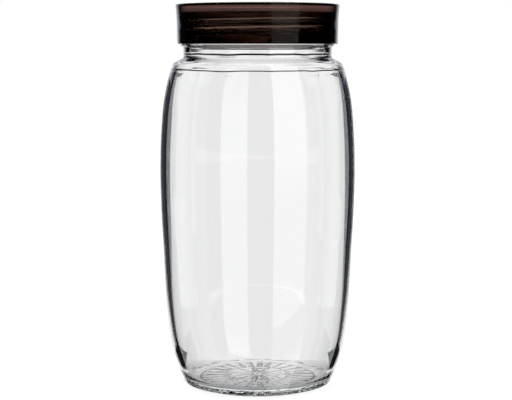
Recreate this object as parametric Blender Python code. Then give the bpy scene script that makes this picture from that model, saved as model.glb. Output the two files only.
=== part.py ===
"""A wide-mouth glass jar with a screw-on plastic lid and the sealing disc inside it.

Metres, +Z up. The origin is on the jar's axis, in the plane that the jar stands on.
Run with: blender --background --python part.py
"""

import math

import bmesh
import bpy
from mathutils import Matrix, Vector
from mathutils.geometry import interpolate_bezier

MM = 0.001

# Turned pieces
FACETS = 56
FILLET_STEPS = 3
MERGE_DISTANCE = 0.001 * MM
SHARP_ANGLE = math.radians(30)
BLEND_REACH_SHARE = 0.4

# Jar body, outside
HEEL_RADIUS = 47.1 * MM
FOOT_INSET = 5.1 * MM
FOOT_RING_WIDTH = 4.0 * MM
HEEL_HEIGHT = 1.6 * MM
HEEL_FILLET = 1.6 * MM
BELLY_RADIUS = 62.0 * MM
BELLY_HEIGHT = 139.0 * MM
SHOULDER_RADIUS = 53.4 * MM
SHOULDER_HEIGHT = 205.3 * MM
SHOULDER_FILLET = 5.0 * MM
# Height and swell, as shares of the way from the heel to the belly
LOWER_SIDE_SHARES = ((0.068, 0.243), (0.163, 0.515), (0.323, 0.725), (0.625, 0.886), (0.813, 0.970))
# Height and narrowing, as shares of the way from the belly to the shoulder
UPPER_SIDE_SHARES = ((0.392, 0.116), (0.672, 0.330), (0.855, 0.630), (0.926, 0.797))
SIDE_STEPS = 2

# Jar body, inside
WALL = 3.6 * MM
FLOOR = 3.4 * MM
PUSH_UP = 2.2 * MM
RECESS_DEPTH = 0.8 * MM
RECESS_SLOPE = 1.0 * MM
FLOOR_INSET = 7.5 * MM
FLOOR_CORNER_STEPS = 4
INNER_SHOULDER_STEPS = 5

# Neck, transfer bead and threaded finish
NECK_RECESS = 0.9 * MM
NECK_RISE = 3.2 * MM
NECK_LENGTH = 6.5 * MM
NECK_FILLET = 1.4 * MM
BEAD_DEPTH = 1.2 * MM
BEAD_FLANK = 1.5 * MM
BEAD_BAND = 0.3 * MM
BEAD_FILLET = 0.5 * MM
FINISH_RADIUS = 47.8 * MM
FINISH_WALL = 4.5 * MM
FINISH_LENGTH = 22.5 * MM
RIM_FILLET = 1.2 * MM

# Thread: single start, right-handed, five turns to the inch
THREAD_PITCH = 5.08 * MM
THREAD_DEPTH = 1.3 * MM
THREAD_CREST = 1.0 * MM
THREAD_ROOT = 2.6 * MM
THREAD_SINK = 0.6 * MM
THREAD_FADE_TURNS = 0.09
JAR_THREAD_TURNS = 1.6
JAR_THREAD_START_TURNS = -0.47
JAR_THREAD_DROP = 14.0 * MM
LID_THREAD_TURNS = 1.4
LID_THREAD_RISE = 4.6 * MM

# Clearances
SEAT_GAP = 0.3 * MM
THREAD_CLEARANCE = 0.4 * MM
FLANK_CLEARANCE = 0.35 * MM
BEAD_CLEARANCE = 0.4 * MM
LINER_CLEARANCE = 1.6 * MM

# Lid and sealing disc
LINER_THICKNESS = 0.9 * MM
LINER_FILLET = 0.3 * MM
PANEL_THICKNESS = 1.2 * MM
SKIRT_WALL = 1.4 * MM
LID_FLARE = 1.1 * MM
LID_TOP_FILLET = 0.9 * MM
LID_LIP_FILLET = 0.3 * MM
LID_INNER_FILLET = 1.0 * MM
# Height and flare of the skirt, as shares of the lid's height and of LID_FLARE
LID_FLARE_SHARES = ((0.870, 0.63), (0.720, 0.36), (0.560, 0.20), (0.300, 0.14))

# Places that follow from the sizes above
FOOT_RADIUS = HEEL_RADIUS - FOOT_INSET
FLOOR_RADIUS = HEEL_RADIUS - FLOOR_INSET
NECK_RADIUS = FINISH_RADIUS - NECK_RECESS
BEAD_RADIUS = FINISH_RADIUS + BEAD_DEPTH
BORE_RADIUS = FINISH_RADIUS - FINISH_WALL
NECK_BASE = SHOULDER_HEIGHT + NECK_RISE
BEAD_BOTTOM = NECK_BASE + NECK_LENGTH
BEAD_TOP = BEAD_BOTTOM + BEAD_FLANK + BEAD_BAND
RIM_HEIGHT = BEAD_TOP + FINISH_LENGTH
JAR_THREAD_START = RIM_HEIGHT - JAR_THREAD_DROP
FLOOR_TOP = RECESS_DEPTH + FLOOR
LID_BOTTOM = BEAD_TOP + BEAD_CLEARANCE
LID_CEILING = RIM_HEIGHT + SEAT_GAP + LINER_THICKNESS + SEAT_GAP
LID_TOP = LID_CEILING + PANEL_THICKNESS
LID_BORE = FINISH_RADIUS + THREAD_DEPTH + THREAD_CLEARANCE
LID_CREST = FINISH_RADIUS + THREAD_CLEARANCE
LID_RADIUS = LID_BORE + SKIRT_WALL
LINER_RADIUS = LID_CREST - LINER_CLEARANCE


def smooth_curve(knots, steps):
    """Points of one smooth curve through the knots, with the given steps between each two."""
    knots = [Vector(knot) for knot in knots]
    chords = [b - a for a, b in zip(knots, knots[1:])]
    tangents = [chords[0].normalized()]
    for before, after in zip(chords, chords[1:]):
        turn = before.normalized() * after.length + after.normalized() * before.length
        tangents.append(turn.normalized())
    tangents.append(chords[-1].normalized())
    points = []
    for i, chord in enumerate(chords):
        reach = chord.length / 3
        span = interpolate_bezier(
            knots[i].to_3d(),
            (knots[i] + tangents[i] * reach).to_3d(),
            (knots[i + 1] - tangents[i + 1] * reach).to_3d(),
            knots[i + 1].to_3d(),
            steps + 1,
        )
        points += [point.to_2d() for point in span[:-1]]
    return points + [knots[-1]]


def blend(start, start_way, end, end_way, steps):
    """Points of one curve that leaves start along start_way and arrives at end along end_way."""
    reach = (end - start).length * BLEND_REACH_SHARE
    span = interpolate_bezier(
        start.to_3d(),
        (start + start_way * reach).to_3d(),
        (end - end_way * reach).to_3d(),
        end.to_3d(),
        steps + 1,
    )
    return [point.to_2d() for point in span]


def offset_curve(points, distance):
    """The curve moved sideways, to its left for a positive distance."""
    moved = []
    for i, point in enumerate(points):
        before = points[max(i - 1, 0)]
        after = points[min(i + 1, len(points) - 1)]
        way = (after - before).normalized()
        moved.append(point + Vector((-way.y, way.x)) * distance)
    return moved


def corner(radius, height, fillet=0.0):
    return Vector((radius, height)), fillet


def plain(points):
    return [(point, 0.0) for point in points]


def rounded(corners):
    """The outline with each corner that has a fillet replaced by an arc."""
    points = []
    for i, (at, fillet) in enumerate(corners):
        if not fillet:
            points.append(at)
            continue
        back = (corners[i - 1][0] - at).normalized()
        ahead = (corners[i + 1][0] - at).normalized()
        half = back.angle(ahead) / 2
        centre = at + (back + ahead).normalized() * (fillet / math.sin(half))
        start = at + back * (fillet / math.tan(half)) - centre
        turned = math.pi - 2 * half
        side = 1 if back.x * ahead.y - back.y * ahead.x < 0 else -1
        for step in range(FILLET_STEPS + 1):
            turn = Matrix.Rotation(side * turned * step / FILLET_STEPS, 2)
            points.append(centre + turn @ start)
    return points


def material(name, color, roughness, transmission=0.0):
    made = bpy.data.materials.new(name)
    made.use_nodes = True
    shader = made.node_tree.nodes["Principled BSDF"]
    shader.inputs["Base Color"].default_value = (*color, 1.0)
    shader.inputs["Roughness"].default_value = roughness
    shader.inputs["Metallic"].default_value = 0.0
    shader.inputs["Transmission Weight"].default_value = transmission
    made.diffuse_color = (*color, 1.0)
    return made


def finished(bm, name, look):
    """A new object that holds the bmesh, shaded smooth and in its own material."""
    bmesh.ops.recalc_face_normals(bm, faces=bm.faces)
    mesh = bpy.data.meshes.new(name)
    bm.to_mesh(mesh)
    bm.free()
    mesh.shade_smooth()
    mesh.set_sharp_from_angle(angle=SHARP_ANGLE)
    obj = bpy.data.objects.new(name, mesh)
    bpy.context.scene.collection.objects.link(obj)
    if look:
        mesh.materials.append(look)
    return obj


def turned(name, outline, look):
    """An outline that starts and ends on the axis, spun into a closed solid."""
    bm = bmesh.new()
    verts = [bm.verts.new((point.x, 0.0, point.y)) for point in outline]
    edges = [bm.edges.new(pair) for pair in zip(verts, verts[1:])]
    bmesh.ops.spin(
        bm,
        geom=verts + edges,
        axis=(0.0, 0.0, 1.0),
        cent=(0.0, 0.0, 0.0),
        angle=math.tau,
        steps=FACETS,
        use_merge=True,
    )
    bmesh.ops.remove_doubles(bm, verts=bm.verts, dist=MERGE_DISTANCE)
    return finished(bm, name, look)


def ridge(name, root, depth, start_turns, start_height, turns):
    """A helical ridge that stands depth out from the root radius, inwards if depth is negative."""
    out = math.copysign(1.0, depth)
    sunk = root - out * THREAD_SINK
    buried = root - out * THREAD_SINK / 2
    crest_half = THREAD_CREST / 2
    flank = (THREAD_ROOT - THREAD_CREST) / 2 / abs(depth)
    foot_half = crest_half + flank * (abs(depth) + THREAD_SINK)
    steps = round(turns * FACETS)

    def section(step):
        run = min(step, steps - step) / FACETS
        share = min(run / THREAD_FADE_TURNS, 1.0)
        crest = buried + (root + depth - buried) * share
        angle = math.tau * (start_turns + (step + 0.5) / FACETS)
        height = start_height + THREAD_PITCH * step / FACETS
        shape = ((sunk, -foot_half), (crest, -crest_half), (crest, crest_half), (sunk, foot_half))
        return [
            Vector((radius * math.cos(angle), radius * math.sin(angle), height + up))
            for radius, up in shape
        ]

    bm = bmesh.new()
    face = bm.faces.new([bm.verts.new(point) for point in section(0)])
    for step in range(1, steps + 1):
        region = [face, *face.edges, *face.verts]
        made = bmesh.ops.extrude_face_region(bm, geom=region)["geom"]
        face = next(item for item in made if isinstance(item, bmesh.types.BMFace))
        for vert, point in zip(face.verts, section(step)):
            vert.co = point
    tool = finished(bm, name, None)
    tool.hide_render = True
    tool.display_type = "WIRE"
    return tool


def join(obj, tool):
    """A Boolean union that makes the tool one body with the object."""
    union = obj.modifiers.new(tool.name, "BOOLEAN")
    union.operation = "UNION"
    union.solver = "EXACT"
    union.object = tool
    tool.parent = obj.parent


def body_side():
    """The jar's outer side, from the heel's corner up to the shoulder's corner."""
    heel = Vector((HEEL_RADIUS, HEEL_HEIGHT))
    belly = Vector((BELLY_RADIUS, BELLY_HEIGHT))
    shoulder = Vector((SHOULDER_RADIUS, SHOULDER_HEIGHT))
    knots = [heel]
    for height, swell in LOWER_SIDE_SHARES:
        radius = heel.x + (belly.x - heel.x) * swell
        knots.append(Vector((radius, heel.y + (belly.y - heel.y) * height)))
    knots.append(belly)
    for height, narrowing in UPPER_SIDE_SHARES:
        radius = belly.x + (shoulder.x - belly.x) * narrowing
        knots.append(Vector((radius, belly.y + (shoulder.y - belly.y) * height)))
    knots.append(shoulder)
    return smooth_curve(knots, SIDE_STEPS)


def jar_outline():
    """Half of the jar's section, from the middle of its underside round to the middle of its floor."""
    side = body_side()
    ring_inner = FOOT_RADIUS - FOOT_RING_WIDTH
    under = [
        corner(0.0, PUSH_UP),
        corner(ring_inner - RECESS_SLOPE, RECESS_DEPTH),
        corner(ring_inner, 0.0),
        corner(FOOT_RADIUS, 0.0),
    ]
    outside = [(side[0], HEEL_FILLET)] + plain(side[1:-1]) + [(side[-1], SHOULDER_FILLET)]
    neck = [
        corner(NECK_RADIUS, NECK_BASE, NECK_FILLET),
        corner(NECK_RADIUS, BEAD_BOTTOM, BEAD_FILLET),
        corner(BEAD_RADIUS, BEAD_BOTTOM + BEAD_FLANK, BEAD_FILLET),
        corner(BEAD_RADIUS, BEAD_TOP),
        corner(FINISH_RADIUS, BEAD_TOP),
        corner(FINISH_RADIUS, RIM_HEIGHT, RIM_FILLET),
        corner(BORE_RADIUS, RIM_HEIGHT, RIM_FILLET),
    ]
    wall = offset_curve(side, WALL)
    wall = [point for point in wall if FLOOR_TOP + WALL * 2 < point.y < SHOULDER_HEIGHT - WALL * 2]
    bore_end = Vector((BORE_RADIUS, NECK_BASE))
    top_way = (wall[-2] - wall[-1]).normalized()
    inner_shoulder = blend(bore_end, Vector((0.0, -1.0)), wall[-1], top_way, INNER_SHOULDER_STEPS)
    floor_edge = Vector((FLOOR_RADIUS, FLOOR_TOP))
    foot_way = (wall[0] - wall[1]).normalized()
    inner_heel = blend(wall[0], foot_way, floor_edge, Vector((-1.0, 0.0)), FLOOR_CORNER_STEPS)
    inside = inner_shoulder + wall[-2:0:-1] + inner_heel
    floor = [corner(0.0, PUSH_UP + FLOOR)]
    return rounded(under + outside + neck + plain(inside) + floor)


def make_jar(look):
    jar = turned("glass_jar", jar_outline(), look)
    thread = ridge(
        "jar_thread",
        FINISH_RADIUS,
        THREAD_DEPTH,
        JAR_THREAD_START_TURNS,
        JAR_THREAD_START,
        JAR_THREAD_TURNS,
    )
    join(jar, thread)
    return jar


def make_liner(look, seat):
    """The sealing disc, with its underside just above the rim."""
    outline = rounded(
        [
            corner(0.0, SEAT_GAP),
            corner(LINER_RADIUS, SEAT_GAP, LINER_FILLET),
            corner(LINER_RADIUS, SEAT_GAP + LINER_THICKNESS, LINER_FILLET),
            corner(0.0, SEAT_GAP + LINER_THICKNESS),
        ]
    )
    liner = turned("lid_liner", outline, look)
    liner.parent = seat
    return liner


def lid_outline():
    """Half of the lid's section, from the middle of its top round to the middle of its ceiling."""
    top = LID_TOP - RIM_HEIGHT
    bottom = LID_BOTTOM - RIM_HEIGHT
    ceiling = LID_CEILING - RIM_HEIGHT
    flare = [
        corner(LID_RADIUS + LID_FLARE * spread, bottom + (top - bottom) * height)
        for height, spread in LID_FLARE_SHARES
    ]
    return rounded(
        [
            corner(0.0, top),
            corner(LID_RADIUS + LID_FLARE, top, LID_TOP_FILLET),
            *flare,
            corner(LID_RADIUS, bottom, LID_LIP_FILLET),
            corner(LID_BORE, bottom, LID_LIP_FILLET),
            corner(LID_BORE, ceiling, LID_INNER_FILLET),
            corner(0.0, ceiling),
        ]
    )


def make_lid(look, seat):
    """The lid, whose thread runs just under the jar's, flank to flank."""
    lid = turned("screw_lid", lid_outline(), look)
    lid.parent = seat
    depth = LID_BORE - LID_CREST
    reach = (THREAD_ROOT - THREAD_CREST) / THREAD_DEPTH * (THREAD_DEPTH - THREAD_CLEARANCE)
    drop = THREAD_CREST + reach / 2 + FLANK_CLEARANCE
    start_height = LID_BOTTOM + LID_THREAD_RISE
    start_turns = JAR_THREAD_START_TURNS + (start_height + drop - JAR_THREAD_START) / THREAD_PITCH
    thread = ridge(
        "lid_thread",
        LID_BORE,
        -depth,
        start_turns,
        start_height - RIM_HEIGHT,
        LID_THREAD_TURNS,
    )
    join(lid, thread)
    return lid


def main():
    for obj in list(bpy.data.objects):
        bpy.data.objects.remove(obj)
    glass = material("clear_glass", (0.93, 0.95, 0.95), 0.02, transmission=1.0)
    plastic = material("dark_brown_plastic", (0.045, 0.028, 0.022), 0.18)
    foam = material("pale_liner", (0.78, 0.75, 0.70), 0.55)
    make_jar(glass)
    seat = bpy.data.objects.new("lid_seat", None)
    seat.location.z = RIM_HEIGHT
    bpy.context.scene.collection.objects.link(seat)
    make_liner(foam, seat)
    make_lid(plastic, seat)


main()
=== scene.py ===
"""The looks of a wide-mouth glass jar with a dark plastic screw lid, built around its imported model.

Laid out as a Blender add-on and run as a script. Metres, +Z up; the jar stands on z = 0.
"""

import math

import bmesh
import bpy
from bpy.props import FloatProperty, FloatVectorProperty, IntProperty, PointerProperty
from mathutils import Euler, Matrix, Vector, noise
from mathutils.geometry import interpolate_bezier


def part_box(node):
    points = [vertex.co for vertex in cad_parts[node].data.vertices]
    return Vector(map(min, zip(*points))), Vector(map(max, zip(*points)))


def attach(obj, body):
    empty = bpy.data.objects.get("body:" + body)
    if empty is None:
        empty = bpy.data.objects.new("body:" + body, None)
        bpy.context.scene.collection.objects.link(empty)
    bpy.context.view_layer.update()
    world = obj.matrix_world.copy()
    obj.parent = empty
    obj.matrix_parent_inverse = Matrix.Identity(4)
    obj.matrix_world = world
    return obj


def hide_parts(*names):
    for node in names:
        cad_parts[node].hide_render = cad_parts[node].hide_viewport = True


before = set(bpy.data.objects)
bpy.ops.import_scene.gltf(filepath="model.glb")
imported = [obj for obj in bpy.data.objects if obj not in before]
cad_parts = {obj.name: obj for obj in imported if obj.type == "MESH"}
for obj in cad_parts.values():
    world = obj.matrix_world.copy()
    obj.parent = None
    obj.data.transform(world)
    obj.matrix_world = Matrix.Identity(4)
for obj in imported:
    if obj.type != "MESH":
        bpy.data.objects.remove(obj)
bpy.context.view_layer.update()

bl_info = {
    "name": "Glass Storage Jar",
    "version": (1, 0, 0),
    "blender": (4, 5, 0),
    "location": "3D View > Sidebar > Storage Jar",
    "description": "Builds the glass, the sealing disc, the screw lid and the studio",
    "category": "Object",
}

MM = 0.001

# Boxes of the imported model, which every piece fits
JAR_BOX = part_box("glass_jar")
LINER_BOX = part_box("lid_liner")
LID_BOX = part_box("screw_lid")
BELLY_RADIUS = JAR_BOX[1].x
RIM_HEIGHT = JAR_BOX[1].z

# Zones of a turned outline, each with its own longest step between two rings
PLAIN = 0
UNDERSIDE = 1
BEVEL = 2
FINISH = 3
BORE = 4
INNER_WALL = 5
INNER_FLOOR = 6
INNER_SHOULDER = 7
LONGEST_STEP = {
    PLAIN: 6.0 * MM,
    UNDERSIDE: 0.55 * MM,
    BEVEL: 0.4 * MM,
    FINISH: 0.4 * MM,
    BORE: 4.0 * MM,
    INNER_WALL: 5.0 * MM,
    INNER_FLOOR: 3.0 * MM,
    INNER_SHOULDER: 0.8 * MM,
}
STEP_SLACK_SHARE = 0.01
FILLET_STEPS = 5
MERGE_DISTANCE = 0.001 * MM

# Jar body, outside
HEEL_RADIUS = 47.1 * MM
HEEL_HEIGHT = 1.6 * MM
HEEL_FILLET = 1.6 * MM
FOOT_INSET = 5.1 * MM
FOOT_RING_WIDTH = 4.0 * MM
FOOT_FILLET = 0.4 * MM
BELLY_HEIGHT = 139.0 * MM
SHOULDER_RADIUS = 53.4 * MM
SHOULDER_HEIGHT = 205.3 * MM
SHOULDER_FILLET = 5.0 * MM
LOWER_SIDE_SHARES = ((0.068, 0.243), (0.163, 0.515), (0.323, 0.725), (0.625, 0.886), (0.813, 0.970))
UPPER_SIDE_SHARES = ((0.392, 0.116), (0.672, 0.330), (0.855, 0.630), (0.926, 0.797))
SIDE_STEPS = 5

# Jar body, inside
PUSH_UP = 2.2 * MM
RECESS_DEPTH = 0.8 * MM
RECESS_SLOPE = 1.0 * MM
FLOOR_INSET = 7.5 * MM
INNER_NECK_FILLET = 3.2 * MM
INNER_SHOULDER_FILLET = 4.0 * MM
INNER_SHOULDER_SWELL = 0.66 * MM
BORE_STEP_TOP = 211.4 * MM
BORE_STEP_HEIGHT = 1.1 * MM
BORE_STEP_DEPTH = 0.55 * MM
WALL_STEP_TOP = 201.1 * MM
WALL_STEP_LENGTH = 0.6 * MM
STEP_FILLET = 0.3 * MM
BLEND_REACH_SHARE = 0.4
BLEND_STEPS = 14

# Neck, bead and threaded finish
FINISH_RADIUS = 47.8 * MM
FINISH_WALL = 4.5 * MM
FINISH_LENGTH = 22.5 * MM
NECK_RECESS = 0.9 * MM
NECK_RISE = 3.2 * MM
NECK_FILLET = 1.4 * MM
BEAD_DEPTH = 1.2 * MM
BEAD_FLANK = 1.5 * MM
BEAD_BAND = 0.3 * MM
BEAD_FILLET = 0.5 * MM
RIM_FILLET = 1.2 * MM
THREAD_PITCH = 5.08 * MM
THREAD_DEPTH = 1.3 * MM
THREAD_CREST = 1.0 * MM
THREAD_ROOT = 2.6 * MM
THREAD_FADE_TURNS = 0.09
JAR_THREAD_TURNS = 1.6
JAR_THREAD_START_TURNS = -0.47
JAR_THREAD_DROP = 14.0 * MM
LID_THREAD_TURNS = 1.4
LID_THREAD_RISE = 4.6 * MM
THREAD_CLEARANCE = 0.4 * MM
FLANK_CLEARANCE = 0.35 * MM

# Lid
LID_FLARE = 1.1 * MM
LID_TOP_FILLET = 0.9 * MM
LID_LIP_FILLET = 0.3 * MM
LID_INNER_FILLET = 1.0 * MM
LID_FLARE_SHARES = ((0.870, 0.63), (0.720, 0.36), (0.560, 0.20), (0.300, 0.14))
PANEL_THICKNESS = 1.2 * MM

# Places that follow
FOOT_RADIUS = HEEL_RADIUS - FOOT_INSET
BEAD_TOP = RIM_HEIGHT - FINISH_LENGTH
BEAD_BOTTOM = BEAD_TOP - BEAD_BAND - BEAD_FLANK
NECK_BASE = SHOULDER_HEIGHT + NECK_RISE
NECK_RADIUS = FINISH_RADIUS - NECK_RECESS
BORE_RADIUS = FINISH_RADIUS - FINISH_WALL
LID_BORE = FINISH_RADIUS + THREAD_DEPTH + THREAD_CLEARANCE


class JarGlassSizes(bpy.types.PropertyGroup):
    """Sizes and colour of the glass."""

    segments: IntProperty(name="Segments", description="Steps round the jar", default=240, min=24)
    wall: FloatProperty(
        name="Wall", description="Thickness of the body's wall", default=3.6 * MM, unit="LENGTH"
    )
    shoulder_wall: FloatProperty(
        name="Shoulder Wall", description="Thickness of the shoulder's wall",
        default=1.9 * MM, unit="LENGTH",
    )
    floor: FloatProperty(
        name="Floor", description="Thickness of the floor", default=3.4 * MM, unit="LENGTH"
    )
    nub_depth: FloatProperty(
        name="Nub Depth", description="How far the nubs under the base stand out",
        default=1.5 * MM, unit="LENGTH",
    )
    nub_width: FloatProperty(
        name="Nub Width", description="Width of one nub along its ring", default=6.7 * MM, unit="LENGTH"
    )
    nub_rings: IntProperty(name="Nub Rings", description="Rings of nubs under the base", default=2, min=1)
    stipple_depth: FloatProperty(
        name="Stipple Depth", description="Depth of the heel's stippling and of the lumps under the base",
        default=0.4 * MM, unit="LENGTH",
    )
    waviness: FloatProperty(
        name="Waviness", description="How far the inner wall strays from round",
        default=0.03 * MM, unit="LENGTH",
    )
    unevenness: FloatProperty(
        name="Unevenness", description="How far the steps inside the shoulder stray from level",
        default=0.65 * MM, unit="LENGTH",
    )
    tint: FloatVectorProperty(
        name="Tint", description="Colour that thick glass takes", subtype="COLOR",
        default=(0.80, 0.95, 0.93), min=0.0, max=1.0,
    )


class SealingDiscSizes(bpy.types.PropertyGroup):
    """Sizes and colour of the sealing disc."""

    segments: IntProperty(name="Segments", description="Steps round the disc", default=160, min=24)
    edge_fillet: FloatProperty(
        name="Edge Fillet", description="Rounding of the disc's edge", default=0.4 * MM, unit="LENGTH"
    )
    groove_depth: FloatProperty(
        name="Groove Depth", description="Depth of the ring that the rim presses in",
        default=0.15 * MM, unit="LENGTH",
    )
    color: FloatVectorProperty(
        name="Colour", description="Colour of the disc", subtype="COLOR",
        default=(0.80, 0.77, 0.73), min=0.0, max=1.0,
    )


class ScrewLidSizes(bpy.types.PropertyGroup):
    """Sizes and colour of the screw lid."""

    segments: IntProperty(name="Segments", description="Steps round the lid", default=240, min=24)
    skirt_wall: FloatProperty(
        name="Skirt Wall", description="Thickness of the skirt", default=1.4 * MM, unit="LENGTH"
    )
    color: FloatVectorProperty(
        name="Colour", description="Colour that light takes on at the lid's surface", subtype="COLOR",
        default=(0.55, 0.45, 0.40), min=0.0, max=1.0,
    )
    # Painted glow: colour of the emission that stands in for the disc's light in the skirt.
    painted_glow_color: FloatVectorProperty(
        name="Painted Glow Colour", description="Light that comes through the skirt beside the sealing disc",
        subtype="COLOR", default=(0.10, 0.055, 0.05), min=0.0, max=1.0,
    )
    depth_color: FloatVectorProperty(
        name="Depth Colour", description="Colour that thick plastic takes", subtype="COLOR",
        default=(0.22, 0.06, 0.0), min=0.0, max=1.0,
    )
    depth_density: FloatProperty(
        name="Depth Density", description="How fast the plastic darkens with depth", default=1130.0
    )


class StudioSettings(bpy.types.PropertyGroup):
    """Camera, cards and light of the studio."""

    distance: FloatProperty(
        name="Distance", description="From the jar's axis to the camera", default=0.905, unit="LENGTH"
    )
    height: FloatProperty(
        name="Height", description="Height of the camera", default=0.2159, unit="LENGTH"
    )
    offset: FloatProperty(
        name="Offset", description="How far left of the jar's axis the camera stands",
        default=0.98 * MM, unit="LENGTH",
    )
    tilt: FloatProperty(
        name="Tilt", description="How far the camera looks down", default=math.radians(6.18),
        subtype="ANGLE",
    )
    lens: FloatProperty(name="Lens", description="Focal length in millimetres", default=100.0)
    backdrop_angle: FloatProperty(
        name="Backdrop Angle", description="Where the backdrop starts to fade, from its middle",
        default=math.radians(22.0), subtype="ANGLE",
    )
    backdrop_end_angle: FloatProperty(
        name="Backdrop End Angle", description="Where the backdrop has faded to black",
        default=math.radians(41.0), subtype="ANGLE",
    )
    backdrop_strength: FloatProperty(
        name="Backdrop Strength", description="Brightness of the backdrop in the glass", default=0.95
    )
    panel_strength: FloatProperty(
        name="Panel Strength", description="Brightness of the side panels", default=0.45
    )
    softbox_strength: FloatProperty(
        name="Softbox Strength", description="Brightness of the softbox's upper part", default=2.0
    )
    overhead_strength: FloatProperty(
        name="Overhead Strength", description="Brightness of the lamp above the jar", default=1.5
    )
    room_light: FloatProperty(
        name="Room Light", description="Soft light that falls on matt surfaces", default=0.9
    )
    surround: FloatProperty(
        name="Surround", description="Brightness of the dark room that the glass shows", default=0.01
    )


def smooth_curve(knots, steps):
    """Points of one smooth curve through the knots, with the given steps between each two."""
    knots = [Vector(knot) for knot in knots]
    chords = [b - a for a, b in zip(knots, knots[1:])]
    tangents = [chords[0].normalized()]
    for before, after in zip(chords, chords[1:]):
        turn = before.normalized() * after.length + after.normalized() * before.length
        tangents.append(turn.normalized())
    tangents.append(chords[-1].normalized())
    points = []
    for i, chord in enumerate(chords):
        reach = chord.length / 3
        span = interpolate_bezier(
            knots[i].to_3d(),
            (knots[i] + tangents[i] * reach).to_3d(),
            (knots[i + 1] - tangents[i + 1] * reach).to_3d(),
            knots[i + 1].to_3d(),
            steps + 1,
        )
        points += [point.to_2d() for point in span[:-1]]
    return points + [knots[-1]]


def blend(start, start_way, end, end_way):
    """Points of one curve that leaves start along start_way and arrives at end along end_way."""
    reach = (end - start).length * BLEND_REACH_SHARE
    span = interpolate_bezier(
        start.to_3d(),
        (start + start_way * reach).to_3d(),
        (end - end_way * reach).to_3d(),
        end.to_3d(),
        BLEND_STEPS + 1,
    )
    return [point.to_2d() for point in span]


def offset_curve(points, distance):
    """The curve moved sideways, to its left for a positive distance."""
    moved = []
    for i, point in enumerate(points):
        before = points[max(i - 1, 0)]
        after = points[min(i + 1, len(points) - 1)]
        way = (after - before).normalized()
        moved.append(point + Vector((-way.y, way.x)) * distance)
    return moved


def corner(radius, height, fillet=0.0, zone=PLAIN):
    """A corner of an outline; the zone is that of the stretch that leaves it."""
    return Vector((radius, height)), fillet, zone


def stretch(points, zone=PLAIN):
    """Corners without fillets, all in one zone."""
    return [(point, 0.0, zone) for point in points]


def rounded(corners):
    """Points with their zones, each corner that has a fillet replaced by an arc.

    An arc's points are plain, apart from its last one and from all those of the inner shoulder.
    """
    points = []
    for i, (at, fillet, zone) in enumerate(corners):
        if not fillet:
            points.append((at, zone))
            continue
        back = (corners[i - 1][0] - at).normalized()
        ahead = (corners[i + 1][0] - at).normalized()
        half = back.angle(ahead) / 2
        centre = at + (back + ahead).normalized() * (fillet / math.sin(half))
        start = at + back * (fillet / math.tan(half)) - centre
        turned = math.pi - 2 * half
        side = 1 if back.x * ahead.y - back.y * ahead.x < 0 else -1
        for step in range(FILLET_STEPS + 1):
            turn = Matrix.Rotation(side * turned * step / FILLET_STEPS, 2)
            keeps_zone = step == FILLET_STEPS or zone == INNER_SHOULDER
            points.append((centre + turn @ start, zone if keeps_zone else PLAIN))
    return points


def divided(points):
    """The points with more between them, so that no step is longer than its zone allows."""
    made = []
    for (start, zone), (end, _) in zip(points, points[1:]):
        count = max(1, math.ceil((end - start).length / LONGEST_STEP[zone] - STEP_SLACK_SHARE))
        made += [(start.lerp(end, step / count), zone) for step in range(count)]
    return made + [points[-1]]


def spun(outline, segments):
    """A bmesh of the outline spun round the axis, with each vertex's zone in a layer."""
    bm = bmesh.new()
    zones = bm.verts.layers.int.new("zone")
    verts = []
    for point, zone in outline:
        vert = bm.verts.new((point.x, 0.0, point.y))
        vert[zones] = zone
        verts.append(vert)
    edges = [bm.edges.new(pair) for pair in zip(verts, verts[1:])]
    bmesh.ops.spin(
        bm,
        geom=verts + edges,
        axis=(0.0, 0.0, 1.0),
        cent=(0.0, 0.0, 0.0),
        angle=math.tau,
        steps=segments,
        use_merge=True,
    )
    bmesh.ops.remove_doubles(bm, verts=bm.verts, dist=MERGE_DISTANCE)
    return bm


def finished(bm, name, look):
    """A new smooth object that holds the bmesh in the given material."""
    bmesh.ops.recalc_face_normals(bm, faces=bm.faces)
    mesh = bpy.data.meshes.new(name)
    bm.to_mesh(mesh)
    bm.free()
    mesh.shade_smooth()
    mesh.materials.append(look)
    obj = bpy.data.objects.new(name, mesh)
    bpy.context.scene.collection.objects.link(obj)
    return obj


def smooth_step(share):
    """The share eased in and out, held between 0 and 1."""
    share = min(max(share, 0.0), 1.0)
    return share * share * (3 - 2 * share)


def thread_rise(turn, height, start_turns, start_height, turns):
    """How far the thread stands out at this place, as a share of its depth."""
    first = (turn - start_turns) % 1.0
    crest_half = THREAD_CREST / 2
    root_half = THREAD_ROOT / 2
    rise = 0.0
    for whole in range(math.ceil(turns)):
        along = first + whole
        if along > turns:
            break
        away = abs(height - start_height - THREAD_PITCH * along)
        fade = min(along, turns - along) / THREAD_FADE_TURNS
        flank = (root_half - away) / (root_half - crest_half)
        rise = max(rise, smooth_step(flank) * smooth_step(fade))
    return rise


def body_side():
    """The jar's outer side, from the heel's corner up to the shoulder's corner."""
    heel = Vector((HEEL_RADIUS, HEEL_HEIGHT))
    belly = Vector((BELLY_RADIUS, BELLY_HEIGHT))
    shoulder = Vector((SHOULDER_RADIUS, SHOULDER_HEIGHT))
    knots = [heel]
    for height, swell in LOWER_SIDE_SHARES:
        radius = heel.x + (belly.x - heel.x) * swell
        knots.append(Vector((radius, heel.y + (belly.y - heel.y) * height)))
    knots.append(belly)
    for height, narrowing in UPPER_SIDE_SHARES:
        radius = belly.x + (shoulder.x - belly.x) * narrowing
        knots.append(Vector((radius, belly.y + (shoulder.y - belly.y) * height)))
    knots.append(shoulder)
    return smooth_curve(knots, SIDE_STEPS)


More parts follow.
